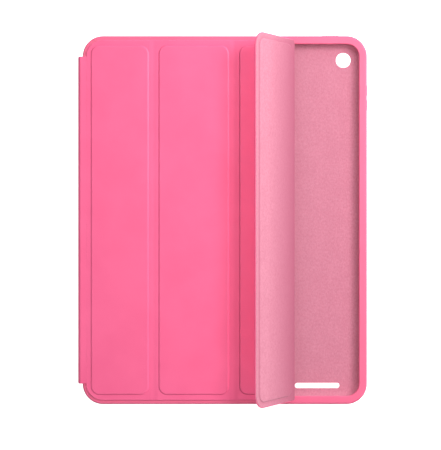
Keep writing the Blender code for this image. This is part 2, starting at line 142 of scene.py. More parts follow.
RAISED = {panel: raised_face(panel) for panel in range(1, LAST_PANEL + 1)}
SHEET_HALF_Y = flat_box("panel_1_lining")[1][1]
COVER_LEFT = flat_box("panel_1_lining")[0][0]
COVER_RIGHT = flat_box("panel_4_lining")[1][0]
TRAY_LOW, TRAY_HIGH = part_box("tray_skin")
SPINE_HALF_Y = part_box("spine_skin")[1].y
SPINE_MID_X = (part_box("spine_skin")[0].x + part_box("spine_lining")[1].x) / 2
SPINE_HALF = SPINE_MID_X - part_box("spine_skin")[0].x
SPINE_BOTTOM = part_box("spine_skin")[0].z
SPINE_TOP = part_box("spine_skin")[1].z


# ---------------------------------------------------------------- node helpers

def shader_tree(name):
    made = bpy.data.materials.new(name)
    made.use_nodes = True
    return made, made.node_tree, made.node_tree.nodes["Principled BSDF"]


def add_node(tree, kind, inputs=None, **settings):
    made = tree.nodes.new(kind)
    for key, value in settings.items():
        setattr(made, key, value)
    for key, value in (inputs or {}).items():
        if isinstance(value, bpy.types.NodeSocket):
            tree.links.new(value, made.inputs[key])
        else:
            made.inputs[key].default_value = value
    return made


def coordinates(tree, flat):
    """Places for the grain: the flat sheet's own, or the rigid piece's."""
    if flat:
        return add_node(tree, "ShaderNodeAttribute", attribute_name="flat").outputs["Vector"]
    return add_node(tree, "ShaderNodeTexCoord").outputs["Object"]


def edge_value(tree):
    """Where a piece of the sheet is worn (up to 1, at its rims), and where it gets painted crease shade
    (down to -1).
    """
    return add_node(tree, "ShaderNodeAttribute", attribute_name="edge").outputs["Fac"]


def stretched(tree, place, scale):
    return add_node(tree, "ShaderNodeMapping", {"Vector": place, "Scale": scale}).outputs["Vector"]


def noise(tree, place, scale, detail=3.0, roughness=0.5):
    inputs = {"Vector": place, "Scale": scale, "Detail": detail, "Roughness": roughness}
    return add_node(tree, "ShaderNodeTexNoise", inputs).outputs["Fac"]


def remap(tree, value, from_range, to_range):
    inputs = {"Value": value, "From Min": from_range[0], "From Max": from_range[1],
              "To Min": to_range[0], "To Max": to_range[1]}
    return add_node(tree, "ShaderNodeMapRange", inputs).outputs["Result"]


def math_node(tree, operation, *values):
    return add_node(tree, "ShaderNodeMath", dict(enumerate(values)), operation=operation).outputs["Value"]


def mix_colour(tree, factor, first, second):
    made = add_node(tree, "ShaderNodeMix", data_type="RGBA")
    for socket, value in ((0, factor), (6, first), (7, second)):
        if isinstance(value, bpy.types.NodeSocket):
            tree.links.new(value, made.inputs[socket])
        elif socket:
            made.inputs[socket].default_value = (*value, 1.0)
        else:
            made.inputs[socket].default_value = value
    return made.outputs[2]


def bump(tree, height, distance, strength=1.0, normal=None):
    inputs = {"Height": height, "Distance": distance, "Strength": strength}
    if normal is not None:
        inputs["Normal"] = normal
    return add_node(tree, "ShaderNodeBump", inputs).outputs["Normal"]


def darker(colour, share):
    return tuple(share * channel for channel in colour)


# ---------------------------------------------------------------- materials

# Texture scales are in features per metre.
SKIN_COLOUR, SKIN_SHADE = (0.93, 0.138, 0.300), (0.85, 0.106, 0.250)
SKIN_WORN = (0.95, 0.22, 0.385)
# The tray's skin colour is a little less saturated than the cover's: painted sheen.
TRAY_COLOUR, TRAY_SHADE = (0.86, 0.148, 0.278), (0.78, 0.122, 0.240)
SKIN_MOTTLE, SKIN_SPECKLE, SKIN_PEBBLE, SKIN_WAVE = 45.0, 1100.0, 1900.0, 16.0
PEBBLE_DEPTH, SPECKLE_DEPTH, WAVE_DEPTH = 0.035 * MM, 0.02 * MM, 1.1 * MM

LINING_COLOUR, LINING_SHADE = (0.61, 0.216, 0.300), (0.49, 0.142, 0.215)
FIBRE_LIGHT = (0.70, 0.33, 0.41)
# Painted shade that darkens the sheet's lining towards the folds: its colour, its reach and its strongest
# share.
FOLD_SHADE_COLOUR = (0.40, 0.098, 0.166)
FOLD_SHADE_REACH, FOLD_SHADE_SHARE = 34 * MM, 0.95
LINING_NAP, LINING_FIBRE, LINING_TUFT = 120.0, 1500.0, 620.0
TUFT_DEPTH, FIBRE_DEPTH = 0.16 * MM, 0.10 * MM

PLASTIC_COLOUR, PLASTIC_SHADE = (0.70, 0.70, 0.71), (0.62, 0.62, 0.63)
BOARD_COLOUR, BOARD_SHADE = (0.33, 0.33, 0.34), (0.22, 0.22, 0.23)
STEEL_COLOUR = (0.56, 0.57, 0.58)
NICKEL_COLOUR = (0.72, 0.70, 0.66)


def polyurethane(name, flat, colour, shade):
    """Satin coated skin: pebble grain, slow mottling, a paler rub along the edges, and faint painted shade
    in the creases at the feet of raised faces.
    """
    made, tree, shader = shader_tree(name)
    place = coordinates(tree, flat)
    mottle = noise(tree, place, SKIN_MOTTLE)
    speckle = noise(tree, place, SKIN_SPECKLE, 4.0, 0.6)
    cells = {"Vector": place, "Scale": SKIN_PEBBLE, "Smoothness": 0.7}
    pebble = add_node(tree, "ShaderNodeTexVoronoi", cells, feature="SMOOTH_F1").outputs["Distance"]
    base = mix_colour(tree, remap(tree, mottle, (0.35, 0.65), (0.0, 0.35)), colour, shade)
    base = mix_colour(tree, remap(tree, pebble, (0.05, 0.55), (0.16, 0.0)), base, shade)
    if flat:
        edge = edge_value(tree)
        rub = math_node(tree, "MULTIPLY", edge, remap(tree, speckle, (0.40, 0.60), (0.05, 0.25)))
        base = mix_colour(tree, math_node(tree, "MAXIMUM", rub, 0.0), base, SKIN_WORN)
        # Painted shade in the crease at the foot of each raised face.
        crease = remap(tree, edge, (-1.0, 0.0), (0.06, 0.0))
        base = mix_colour(tree, crease, base, darker(shade, 0.7))
    tree.links.new(base, shader.inputs["Base Color"])
    tree.links.new(remap(tree, speckle, (0.3, 0.7), (0.42, 0.55)), shader.inputs["Roughness"])
    shader.inputs["Specular IOR Level"].default_value = 0.36
    normal = bump(tree, noise(tree, place, SKIN_WAVE, 1.0), WAVE_DEPTH, 0.5)
    normal = bump(tree, pebble, PEBBLE_DEPTH, 0.55, normal)
    normal = bump(tree, speckle, SPECKLE_DEPTH, 0.5, normal)
    tree.links.new(normal, shader.inputs["Normal"])
    return made


def painted_fold_shade(tree, place):
    """Share of painted shade from the nearest fold: most at the fold line, none at the reach."""
    along = add_node(tree, "ShaderNodeSeparateXYZ", {"Vector": place}).outputs["X"]
    nearest = None
    for joint in ("fold_12", "fold_23", "fold_34"):
        offset = math_node(tree, "SUBTRACT", along, joint_place(joint)[0])
        distance = math_node(tree, "ABSOLUTE", offset)
        nearest = distance if nearest is None else math_node(tree, "MINIMUM", nearest, distance)
    return remap(tree, nearest, (0.0, FOLD_SHADE_REACH), (FOLD_SHADE_SHARE, 0.0))


def microfibre(name, flat):
    """Brushed lining: short fibres lying one way, cloudy nap and a soft sheen, with painted shade in the
    creases at the feet of raised faces and towards the folds.
    """
    made, tree, shader = shader_tree(name)
    place = coordinates(tree, flat)
    nap = noise(tree, stretched(tree, place, (1.0, 0.6, 1.0)), LINING_NAP, 4.0, 0.6)
    fibre = noise(tree, stretched(tree, place, (1.0, 0.45, 1.0)), LINING_FIBRE, 5.0, 0.7)
    tuft = noise(tree, place, LINING_TUFT, 3.0, 0.65)
    base = mix_colour(tree, remap(tree, tuft, (0.32, 0.68), (0.0, 0.55)), LINING_COLOUR, LINING_SHADE)
    base = mix_colour(tree, remap(tree, nap, (0.35, 0.65), (0.0, 0.25)), base, LINING_SHADE)
    base = mix_colour(tree, remap(tree, fibre, (0.35, 0.7), (0.0, 0.35)), base, FIBRE_LIGHT)
    if flat:
        # Painted shade in the crease at the foot of each raised face.
        crease = remap(tree, edge_value(tree), (-1.0, 0.0), (0.6, 0.0))
        base = mix_colour(tree, crease, base, LINING_SHADE)
        # Painted shade, strongest at each fold line.
        base = mix_colour(tree, painted_fold_shade(tree, place), base, FOLD_SHADE_COLOUR)
    tree.links.new(base, shader.inputs["Base Color"])
    tree.links.new(remap(tree, fibre, (0.3, 0.7), (0.85, 1.0)), shader.inputs["Roughness"])
    shader.inputs["Specular IOR Level"].default_value = 0.15
    shader.inputs["Sheen Weight"].default_value = 0.25
    shader.inputs["Sheen Roughness"].default_value = 0.5
    shader.inputs["Sheen Tint"].default_value = (1.0, 0.80, 0.86, 1.0)
    normal = bump(tree, tuft, TUFT_DEPTH, 0.6)
    normal = bump(tree, fibre, FIBRE_DEPTH, 0.6, normal)
    tree.links.new(normal, shader.inputs["Normal"])
    return made


def moulded_plastic(name):
    """Plain moulded plastic with a fine spark-eroded texture."""
    made, tree, shader = shader_tree(name)
    place = coordinates(tree, False)
    cloud = noise(tree, place, 60.0)
    fine = noise(tree, place, 1600.0)
    tree.links.new(mix_colour(tree, cloud, PLASTIC_COLOUR, PLASTIC_SHADE), shader.inputs["Base Color"])
    tree.links.new(remap(tree, fine, (0.3, 0.7), (0.42, 0.58)), shader.inputs["Roughness"])
    tree.links.new(bump(tree, fine, 0.02 * MM), shader.inputs["Normal"])
    return made


def fibre_board(name):
    """Grey pressed board with fibres that run along y."""
    made, tree, shader = shader_tree(name)
    place = coordinates(tree, False)
    fibre = noise(tree, stretched(tree, place, (1.0, 0.2, 1.0)), 700.0, 5.0, 0.7)
    tree.links.new(mix_colour(tree, fibre, BOARD_COLOUR, BOARD_SHADE), shader.inputs["Base Color"])
    tree.links.new(remap(tree, fibre, (0.3, 0.7), (0.6, 0.85)), shader.inputs["Roughness"])
    tree.links.new(bump(tree, fibre, 0.05 * MM), shader.inputs["Normal"])
    return made


def bare_metal(name, colour, roughness, along):
    """Rolled or plated metal with fine scratches that run one way."""
    made, tree, shader = shader_tree(name)
    place = coordinates(tree, False)
    scratch = noise(tree, stretched(tree, place, along), 2600.0, 4.0, 0.7)
    stain = noise(tree, place, 90.0)
    tree.links.new(mix_colour(tree, stain, colour, darker(colour, 0.8)), shader.inputs["Base Color"])
    tree.links.new(remap(tree, scratch, (0.3, 0.7), roughness), shader.inputs["Roughness"])
    shader.inputs["Metallic"].default_value = 1.0
    tree.links.new(bump(tree, scratch, 0.01 * MM), shader.inputs["Normal"])
    return made


SKIN = polyurethane("skin_sheet", True, SKIN_COLOUR, SKIN_SHADE)
TRAY_SKIN = polyurethane("skin_tray", False, TRAY_COLOUR, TRAY_SHADE)
LINING = microfibre("lining_sheet", True)
TRAY_LINING = microfibre("lining_tray", False)


# ---------------------------------------------------------------- the sheet's two layers

@dataclass(frozen=True)
class Layer:
    """One layer of the cover and the spine. Heights are over the sheet's or the spine's middle."""
    side: int               # +1 outside, -1 inside
    suffix: str             # ends the names of its pieces
    node: str               # ends the names of the CAD nodes it replaces
    slot: str
    finish: bpy.types.Material
    under: float            # its hidden face, towards the other layer
    board_face: float       # its hidden face over a board
    crown: float            # swell in the middle of a raised face
    rim_inset: float
    rim_r: float
    folded_rim_r: float     # on the web that is folded at rest
    web_dip: float          # how far a web sinks in its middle
    spine_cover: float      # just covers the spine's stiffener
    spine_under: float
    spine_reach: float      # half length of the spine, closing over the stiffener's ends


OUTER = Layer(
    side=1, suffix="outer", node="skin", slot="outer_skin", finish=SKIN,
    under=-0.20 * MM, board_face=SHEET, crown=0.07 * MM,
    rim_inset=0.0, rim_r=0.5 * MM, folded_rim_r=0.5 * MM, web_dip=0.10 * MM,
    spine_cover=SPINE_MID_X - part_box("spine_stiffener")[0].x + 0.07 * MM,
    spine_under=-0.30 * MM, spine_reach=SPINE_HALF_Y + 0.25 * MM)
INNER = Layer(
    side=-1, suffix="inner", node="lining", slot="lining", finish=LINING,
    under=-0.22 * MM, board_face=-0.7 * MM, crown=0.04 * MM,
    rim_inset=0.32 * MM, rim_r=0.36 * MM, folded_rim_r=0.17 * MM, web_dip=0.20 * MM,
    spine_cover=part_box("spine_stiffener")[1].x - SPINE_MID_X + 0.05 * MM,
    spine_under=-0.05 * MM, spine_reach=SPINE_HALF_Y + 0.15 * MM)
LAYERS = (OUTER, INNER)


def stand_for(piece, node, slot, body=None):
    """Lets a piece replace a CAD node in the looks, riding on a body when one is given."""
    if body:
        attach(piece, body)
    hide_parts(node)


# ---------------------------------------------------------------- mesh helpers

def outline(x_range, y_range, corners, steps=CORNER_STEPS):
    """Rectangle with rounded corners, anticlockwise; radii from the lower right corner on."""
    places = ((1, 0, -90), (1, 1, 0), (0, 1, 90), (0, 0, 180))
    points = []
    for (side_x, side_y, start), radius in zip(places, corners):
        centre_x = x_range[side_x] + (radius if side_x == 0 else -radius)
        centre_y = y_range[side_y] + (radius if side_y == 0 else -radius)
        for step in range(steps + 1):
            angle = math.radians(start + 90 * step / steps)
            points.append((centre_x + radius * math.cos(angle), centre_y + radius * math.sin(angle)))
    return points


def round_ended(half_length, half_height, steps):
    """Outline of a slot or pad whose ends are almost half circles."""
    corners = [half_height * 0.98] * 4
    return outline((-half_length, half_length), (-half_height, half_height), corners, steps)


def arc(centre, radius, start, end, steps):
    """(inset, height) points on an arc, with angles in degrees."""
    angles = [math.radians(start + (end - start) * step / steps) for step in range(steps + 1)]
    return [(centre[0] + radius * math.cos(a), centre[1] + radius * math.sin(a)) for a in angles]


def loft_faces(loops, count):
    """Quads between successive closed loops of count points, and a cap at each end."""
    faces = [tuple(range(count))]
    for loop in range(loops - 1):
        near, far = loop * count, (loop + 1) * count
        for i in range(count):
            j = (i + 1) % count
            faces.append((near + i, far + i, far + j, near + j))
    last = (loops - 1) * count
    faces.append(tuple(last + i for i in reversed(range(count))))
    return faces


def closed_piece(name, points, faces, finish, flat=None, edge=None):
    """A closed mesh with its normals out, and with its flat places, edge wear and painted crease shade
    stored on its points.
    """
    mesh = bpy.data.meshes.new(name)
    mesh.from_pydata([tuple(point) for point in points], [], faces)
    bm = bmesh.new()
    bm.from_mesh(mesh)
    bmesh.ops.recalc_face_normals(bm, faces=bm.faces)
    bm.to_mesh(mesh)
    bm.free()
    if flat is not None:
        stored = mesh.attributes.new("flat", "FLOAT_VECTOR", "POINT")
        stored.data.foreach_set("vector", np.asarray(flat, np.float32).ravel())
        stored = mesh.attributes.new("edge", "FLOAT", "POINT")
        stored.data.foreach_set("value", np.asarray(edge, np.float32))
    mesh.shade_smooth()
    mesh.set_sharp_from_angle(angle=SMOOTH_ANGLE)
    mesh.materials.append(finish)
    made = bpy.data.objects.new(name, mesh)
    bpy.context.scene.collection.objects.link(made)
    return made


def edge_profile(outer, under, inset, radius):
    """A rounded rim as (distance in from the edge, above), from the outer face to the underside."""
    side = 1.0 if outer > under else -1.0
    points = []
    for step in range(RIM_STEPS + 1):
        angle = math.radians(90 * step / RIM_STEPS)
        points.append((inset + radius * (1 - math.sin(angle)),
                       outer - side * radius * (1 - math.cos(angle))))
    points.append((inset, under + side * RIM_BEVEL))
    points.append((inset + RIM_BEVEL, under))
    return points


def smooth(t):
    t = min(max(t, 0.0), 1.0)
    return t * t * (3 - 2 * t)


# ---------------------------------------------------------------- panels

FACE_INSETS = (11 * MM, 6.5 * MM, 3.6 * MM, 2.0 * MM, 1.45 * MM)
MIDDLE_GAP = 1.2 * MM       # half width of the flat middle of a raised face
CROWN_RUN = 12 * MM         # over which a raised face swells, from its edge
FOOT_GAP = 0.08 * MM        # ring just outside the foot of a raised face
# Painted crease shade on the ring just outside the foot of a raised face.
FOOT_CREASE = -0.8
RIM_GAP = 0.3 * MM          # ring just inside the rounded rim
INNERMOST_CORNER = 0.4 * MM


def web_gap(left_panel):
    return RAISED[left_panel + 1][0][0] - RAISED[left_panel][0][1]


def sheet_ring(panel, inset):
    """Outline of a panel's sheet, drawn in only at its free edges."""
    left, right = RAISED[panel][0]
    left -= SEAM
    right += SEAM
    right_corner = left_corner = SQUARE_CORNER
    if panel == 1:
        left = COVER_LEFT + inset
        left_corner = SPINE_SIDE_CORNER - inset
    if panel == LAST_PANEL:
        right = COVER_RIGHT - inset
        right_corner = FREE_CORNER - inset
    half_y = SHEET_HALF_Y - inset
    return outline((left, right), (-half_y, half_y), [right_corner] * 2 + [left_corner] * 2)


def face_ring(panel, inset):
    """Outline of a panel's raised face, drawn in from its foot."""
    (left, right), (bottom, top) = RAISED[panel]
    corner = max(RAISED_CORNER - inset, INNERMOST_CORNER)
    return outline((left + inset, right - inset), (bottom + inset, top - inset), [corner] * 4)


def panel_rings(panel, layer):
    """(outline, above, edge) rings from the middle of the raised face to the middle of the underside."""
    middle = (RAISED[panel][0][1] - RAISED[panel][0][0]) / 2 - MIDDLE_GAP
    rings = []
    for inset in (middle, *FACE_INSETS):
        rise = layer.crown * smooth((inset - STEP_RUN) / CROWN_RUN)
        rings.append((face_ring(panel, inset), layer.side * (FACE + rise), 0.0))
    for step in range(STEP_RINGS + 1):
        share = 1 - step / STEP_RINGS
        above = SHEET + (FACE - SHEET) * smooth(share)
        # Worn near the top of the slope (above 0), painted crease shade towards its foot (below 0).
        crease = 1 - 2 * smooth(STEP_CREASE * (1 - share))
        rings.append((face_ring(panel, STEP_RUN * share), layer.side * above, crease))
    rings.append((face_ring(panel, -FOOT_GAP), layer.side * SHEET, FOOT_CREASE))
    rim = layer.rim_inset + layer.rim_r + RIM_GAP
    rings.append((sheet_ring(panel, rim), layer.side * SHEET, 0.0))
    for distance, above in edge_profile(layer.side * SHEET, layer.under, layer.rim_inset, layer.rim_r):
        rings.append((sheet_ring(panel, distance), above, 1.0))
    rings.append((face_ring(panel, 0.0), layer.under, 0.0))
    rings.append((face_ring(panel, STEP_RUN), layer.board_face, 0.0))
    rings.append((face_ring(panel, middle), layer.board_face, 0.0))
    return rings


def build_panel(panel, layer):
    flat, edge = [], []
    rings = panel_rings(panel, layer)
    for ring, above, wear_and_shade in rings:
        flat += [(x, y, SHEET_MID + above) for x, y in ring]
        edge += [wear_and_shade] * len(ring)
    flat = np.array(flat)
    points = flat.copy()
    if panel == LAST_PANEL:
        points[:, [0, 2]] = turned(points[:, [0, 2]], REST_FOLD, LAST_FOLD)
    faces = loft_faces(len(rings), len(rings[0][0]))
    piece = closed_piece(f"panel_{panel}_{layer.suffix}", points, faces, layer.finish, flat, edge)
    stand_for(piece, f"panel_{panel}_{layer.node}", layer.slot, f"panel_{panel}")


# ---------------------------------------------------------------- bends

class Bend:
    """A soft stretch of sheet that turns about a joint's axis.

    heading is the way that the sheet runs before the bend and turn the bend at rest, both positive from
    +x towards +z. rise is how far the axis lies above the sheet's middle. before and after are the
    lengths of sheet on each side of the axis that take part, less the margin that stays with its body.
    """

    def __init__(self, joint, heading, turn, rise, before, after, margin=0.0, flat_start=0.0):
        self.axis = joint_place(joint)
        self.bodies = (JOINTS[joint]["parent"], JOINTS[joint]["child"])
        self.heading = math.radians(heading)
        self.turn = math.radians(turn)
        self.rise = rise
        self.before = before
        self.after = after
        self.flat_start = flat_start
        start = self.place(0.0, -before, 0.0)
        end = self.place(1.0, after, 0.0)
        way = (end - start) / np.linalg.norm(end - start)
        self.start = start + margin * way
        self.end = end - margin * way

    def directions(self, share):
        angle = self.heading + share * self.turn
        return np.array((math.cos(angle), math.sin(angle))), np.array((-math.sin(angle), math.cos(angle)))

    def place(self, share, along, above):
        """(x, z) of a point of the sheet that has turned by a share of the bend."""
        onward, outward = self.directions(share)
        return self.axis + along * onward + (above - self.rise) * outward

    def along_for(self, share, above):
        """How far past the axis the point lies that blends with this share in its place at rest."""
        # t is the place between start and end where the smooth blend 3tt - 2ttt has reached the share.
        t = 0.5 - math.sin(math.asin(1 - 2 * share) / 3)
        span = self.end - self.start
        onward, outward = self.directions(share)
        base = (self.axis - self.start) @ span + (above - self.rise) * (outward @ span)
        along = (t * (span @ span) - base) / (onward @ span)
        return min(max(along, -self.before), self.after)


STRIP_Y_STEPS = 16


def strip_piece(name, bend, sections, half_y, inset, radius, finish):
    """A closed strip of sheet along y, lofted through sections across the bend.

    A section is (share of the turn, place along or None where the bend sets it, outer, under, pinch).
    """
    points, flat, edge = [], [], []
    for share, along, outer, under, pinch in sections:
        rim = edge_profile(outer, under, inset, radius)
        reach = half_y - pinch - rim[0][0]
        loop = [(-reach + 2 * reach * i / STRIP_Y_STEPS, outer, 0.0) for i in range(STRIP_Y_STEPS + 1)]
        loop += [(half_y - pinch - distance, above, 1.0) for distance, above in rim[1:]]
        reach = half_y - pinch - rim[-1][0]
        loop += [(reach - 2 * reach * i / STRIP_Y_STEPS, under, 0.0) for i in range(1, STRIP_Y_STEPS)]
        loop += [(pinch + distance - half_y, above, 1.0) for distance, above in reversed(rim[1:])]
        for y, above, wear_and_shade in loop:
            at = bend.along_for(share, above) if along is None else along
            x, z = bend.place(share, at, above)
            points.append((x, y, z))
            flat.append((bend.flat_start + at, y, SHEET_MID + above))
            edge.append(wear_and_shade)
    faces = loft_faces(len(sections), len(loop))
    return closed_piece(name, points, faces, finish, flat, edge)


def blend_piece(piece, bend):
    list(bend.bodies)
    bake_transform(piece)


def hump(share):
    """0 at both ends of a bend and 1 halfway."""
    return 4 * share * (1 - share)


def crossing(steps, outer, under, pinch=0.0):
    """Sections spread evenly over a bend's turn; outer is a function of the share."""
    shares = [step / steps for step in range(steps + 1)]
    return [(share, None, outer(share), under, pinch * hump(share)) for share in shares]


WEB_STEPS = 16
WEB_MARGIN = 0.35 * MM
FOLDED_PINCH = 1.1 * MM     # how far the ends of the folded web draw in


def build_web(left, layer):
    """The pressed stretch of sheet on the right of a panel."""
    folded = left + 1 == LAST_PANEL
    half = web_gap(left) / 2 - SEAM
    joint = f"fold_{left}{left + 1}"
    turn = math.degrees(REST_FOLD) if folded else 0.0
    bend = Bend(joint, 0.0, turn, FOLD_RISE, half, half, margin=WEB_MARGIN,
                flat_start=joint_place(joint)[0])

    def outer(share):
        return layer.side * (SHEET - layer.web_dip * hump(share))

    sections = [(0.0, -half, outer(0), layer.under, 0.0)]
    sections += crossing(WEB_STEPS, outer, layer.under, FOLDED_PINCH if folded else 0.0)
    sections += [(1.0, half, outer(1), layer.under, 0.0)]
    piece = strip_piece(f"web_{left}{left + 1}_{layer.suffix}", bend, sections, SHEET_HALF_Y,
                        layer.rim_inset, layer.folded_rim_r if folded else layer.rim_r, layer.finish)
    blend_piece(piece, bend)
    stand_for(piece, f"fold_web_{left}{left + 1}", layer.slot)


COVER_BEND_STEPS = 14
COVER_BEND_LAP = 0.7 * MM       # how far the bend's end lies under panel 1's rim
COVER_BEND_AFTER = 2.2 * MM
COVER_BEND_MARGIN = 0.1 * MM
COVER_BEND_SINK = 0.02 * MM     # below the panel's face, so that the two never share a surface
COVER_BEND_RIM_R = 0.3 * MM
SPINE_SWELL_END = 3.0           # the spine's thickness is gone after 1/3 of the bend


def build_cover_bend(layer):
    """The bend from the spine's top over to panel 1."""
    axis = joint_place("cover_hinge")
    before = axis[1] - SPINE_TOP
    after = COVER_LEFT + COVER_BEND_LAP - axis[0]
    bend = Bend("cover_hinge", 90.0, -90.0, SPINE_MID_X - axis[0], before, COVER_BEND_AFTER,
                margin=COVER_BEND_MARGIN, flat_start=axis[0])

    def outer(share):
        swell = (layer.spine_cover - SHEET) * (1 - smooth(SPINE_SWELL_END * share))
        return layer.side * (SHEET - COVER_BEND_SINK + swell)

    sections = [(0.0, -before, outer(0), layer.under, 0.0)]
    sections += crossing(COVER_BEND_STEPS, outer, layer.under)
    sections += [(1.0, after, outer(1), layer.under, 0.0)]
    piece = strip_piece(f"cover_bend_{layer.suffix}", bend, sections, layer.spine_reach, 0.0,
                        COVER_BEND_RIM_R, layer.finish)
    blend_piece(piece, bend)
    stand_for(piece, "cover_hinge_web", layer.slot)


STRIP_RUN = 1.0 * MM            # straight sheet that takes part beside an axis of the spine
SPINE_RIM_R = 0.2 * MM
SPINE_FLAT_GAP = 8 * MM         # keeps the spine's grain apart from the bend's
HINGE_FLAT_GAP = 22 * MM
# (mm from an end of the spine, share of its full swell)
SPINE_SWELL = ((0.0, 0.0), (0.25, 0.35), (0.55, 0.8), (0.9, 1.0))


def build_spine(layer):
    """One layer of the flat spine, swelling over the stiffener."""
    bend = Bend("spine_fold", 90.0, 0.0, 0.0, STRIP_RUN, STRIP_RUN,
                flat_start=COVER_LEFT - (SPINE_TOP - SPINE_BOTTOM) - SPINE_FLAT_GAP)
    low_end = [(SPINE_BOTTOM - bend.axis[1] + distance * MM, share) for distance, share in SPINE_SWELL]
    high_end = [(SPINE_TOP - bend.axis[1] - distance * MM, share) for distance, share in SPINE_SWELL]
    sections = []
    for along, share in low_end + high_end[::-1]:
        above = layer.spine_cover + (SPINE_HALF - layer.spine_cover) * share
        sections.append((0.0, along, layer.side * above, layer.spine_under, 0.0))
    piece = strip_piece(f"spine_{layer.suffix}", bend, sections, layer.spine_reach, 0.0,
                        SPINE_RIM_R, layer.finish)
    stand_for(piece, f"spine_{layer.node}", layer.slot, "spine")


HINGE_STEPS = 10
HINGE_SLOPE = 45.0              # degrees between the tray's back and the strip at rest
HINGE_HALF = 0.4 * MM           # half the strip's thickness
HINGE_UNDER = 0.01 * MM         # gap between its two layers, each way
FLANGE_RIM_R = 0.08 * MM
FLANGE_GAP = 0.5 * MM           # from the end of the back's round edge
# (mm from the flange's root, its thickness in mm)
FLANGE = ((0.0, 0.2), (1.4, 0.45), (2.8, 0.8))


def build_back_hinge(layer):
    """One layer of the strip from the tray's back to the spine, which bends at both of its edges."""
    low, high = joint_place("back_hinge_fold"), joint_place("spine_fold")
    reach = np.linalg.norm(high - low)
    flat_low = COVER_LEFT - HINGE_FLAT_GAP
    first = Bend("back_hinge_fold", 180.0, -HINGE_SLOPE, 0.0, STRIP_RUN, STRIP_RUN, flat_start=flat_low)
    second = Bend("spine_fold", 180.0 - HINGE_SLOPE, -HINGE_SLOPE, 0.0, STRIP_RUN,
                  SPINE_BOTTOM - high[1], flat_start=flat_low + reach)
    under = -layer.side * HINGE_UNDER
    even = layer.side * HINGE_HALF

    def swelling(share):
        return even + layer.side * (layer.spine_cover - HINGE_HALF) * share

    low_sections = [(0.0, -STRIP_RUN, even, under, 0.0)]
    low_sections += crossing(HINGE_STEPS, lambda share: even, under)
    low_sections += [(1.0, reach / 2, even, under, 0.0)]
    high_sections = [(0.0, -reach / 2, even, under, 0.0)]
    high_sections += crossing(HINGE_STEPS, swelling, under)
    for name, bend, sections in (("low", first, low_sections), ("high", second, high_sections)):
        piece = strip_piece(f"back_hinge_{name}_{layer.suffix}", bend, sections, layer.spine_reach, 0.0,
                            SPINE_RIM_R, layer.finish)
        blend_piece(piece, bend)
        stand_for(piece, "back_hinge_strip", layer.slot)


def build_flange():
    """The tray's own end of the hinge strip, which runs in under its round edge."""
    low = joint_place("back_hinge_fold")
    flange = Bend("back_hinge_fold", 180.0, 0.0, 0.0, STRIP_RUN, STRIP_RUN,
                  flat_start=COVER_LEFT - HINGE_FLAT_GAP)
    root = low[0] - (TRAY_LOW.x + BACK_EDGE_R + FLANGE_GAP)
    tops = [(root + distance * MM, thickness) for distance, thickness in FLANGE]
    tops.append((-STRIP_RUN, FLANGE[-1][1]))
    sections = [(0.0, along, HINGE_HALF, HINGE_HALF - top * MM, 0.0) for along, top in tops]
    piece = strip_piece("tray_hinge_flange", flange, sections, OUTER.spine_reach, 0.0,
                        FLANGE_RIM_R, SKIN)
    stand_for(piece, "tray_skin", "outer_skin", "tray")


# ---------------------------------------------------------------- tray

WALL = 1.3 * MM
SKIN_PLY = 0.4 * MM
LINING_PLY = 0.2 * MM
LIP_WIDTH = 5.4 * MM
TRAY_CORNER = 13.5 * MM
INNERMOST_TRAY_CORNER = 1.0 * MM
TRAY_CORNER_STEPS = 20
BACK_EDGE_R = 8.0 * MM
LIP_EDGE_R = 1.2 * MM
OPENING_EDGE_R = 0.6 * MM       # edge of the lip around the screen
LINING_CORNER_R = 0.6 * MM
BACK_MIDDLE = 30 * MM           # inset of the innermost ring of the back
BACK_FLAT = 9 * MM              # inset of the ring where the back is flat
LIP_FOOT_GAP = 0.05 * MM
# Rings that hold the wall and the lip flat beside their rounded edges, by their distance from them.
HOLD_BACK, HOLD_SIDE, HOLD_TOP = 0.6 * MM, 0.4 * MM, 0.3 * MM


def tray_ring(inset, height):
    half_x = TRAY_HIGH.x - inset
    half_y = TRAY_HIGH.y - inset
    corners = [max(TRAY_CORNER - inset, INNERMOST_TRAY_CORNER)] * 4
    flat = outline((-half_x, half_x), (-half_y, half_y), corners, TRAY_CORNER_STEPS)
    return [(x, y, height) for x, y in flat]


def tray_shell(name, section, finish):
    rings = [tray_ring(inset, height) for inset, height in section]
    points = [point for ring in rings for point in ring]
    return closed_piece(name, points, loft_faces(len(rings), len(rings[0])), finish)


def skin_section():
    """(inset, height) points of the tray's skin: up its outside, over the lip, and back down inside it."""
    top = TRAY_HIGH.z
    back = (BACK_EDGE_R, BACK_EDGE_R)
    lip = (LIP_EDGE_R, top - LIP_EDGE_R)
    opening = (LIP_WIDTH - OPENING_EDGE_R, top - OPENING_EDGE_R)
    foot = top - WALL + LIP_FOOT_GAP
    outer = [(BACK_MIDDLE, 0.0), (BACK_FLAT, 0.0)]
    outer += arc(back, BACK_EDGE_R, 270, 180, 16)
    outer += [(0.0, BACK_EDGE_R + HOLD_BACK), (0.0, lip[1] - HOLD_SIDE)]
    outer += arc(lip, LIP_EDGE_R, 180, 90, 8)
    outer += [(LIP_EDGE_R + HOLD_TOP, top), (opening[0] - HOLD_TOP, top)]
    outer += arc(opening, OPENING_EDGE_R, 90, 0, 6) + [(LIP_WIDTH, foot)]
    inner = arc(back, BACK_EDGE_R - SKIN_PLY, 270, 180, 10)
    inner += arc(lip, LIP_EDGE_R - SKIN_PLY, 180, 90, 4)
    inner += arc(opening, OPENING_EDGE_R - SKIN_PLY, 90, 0, 3) + [(LIP_WIDTH - SKIN_PLY, foot)]
    return outer + inner[::-1] + [(BACK_MIDDLE, SKIN_PLY)]


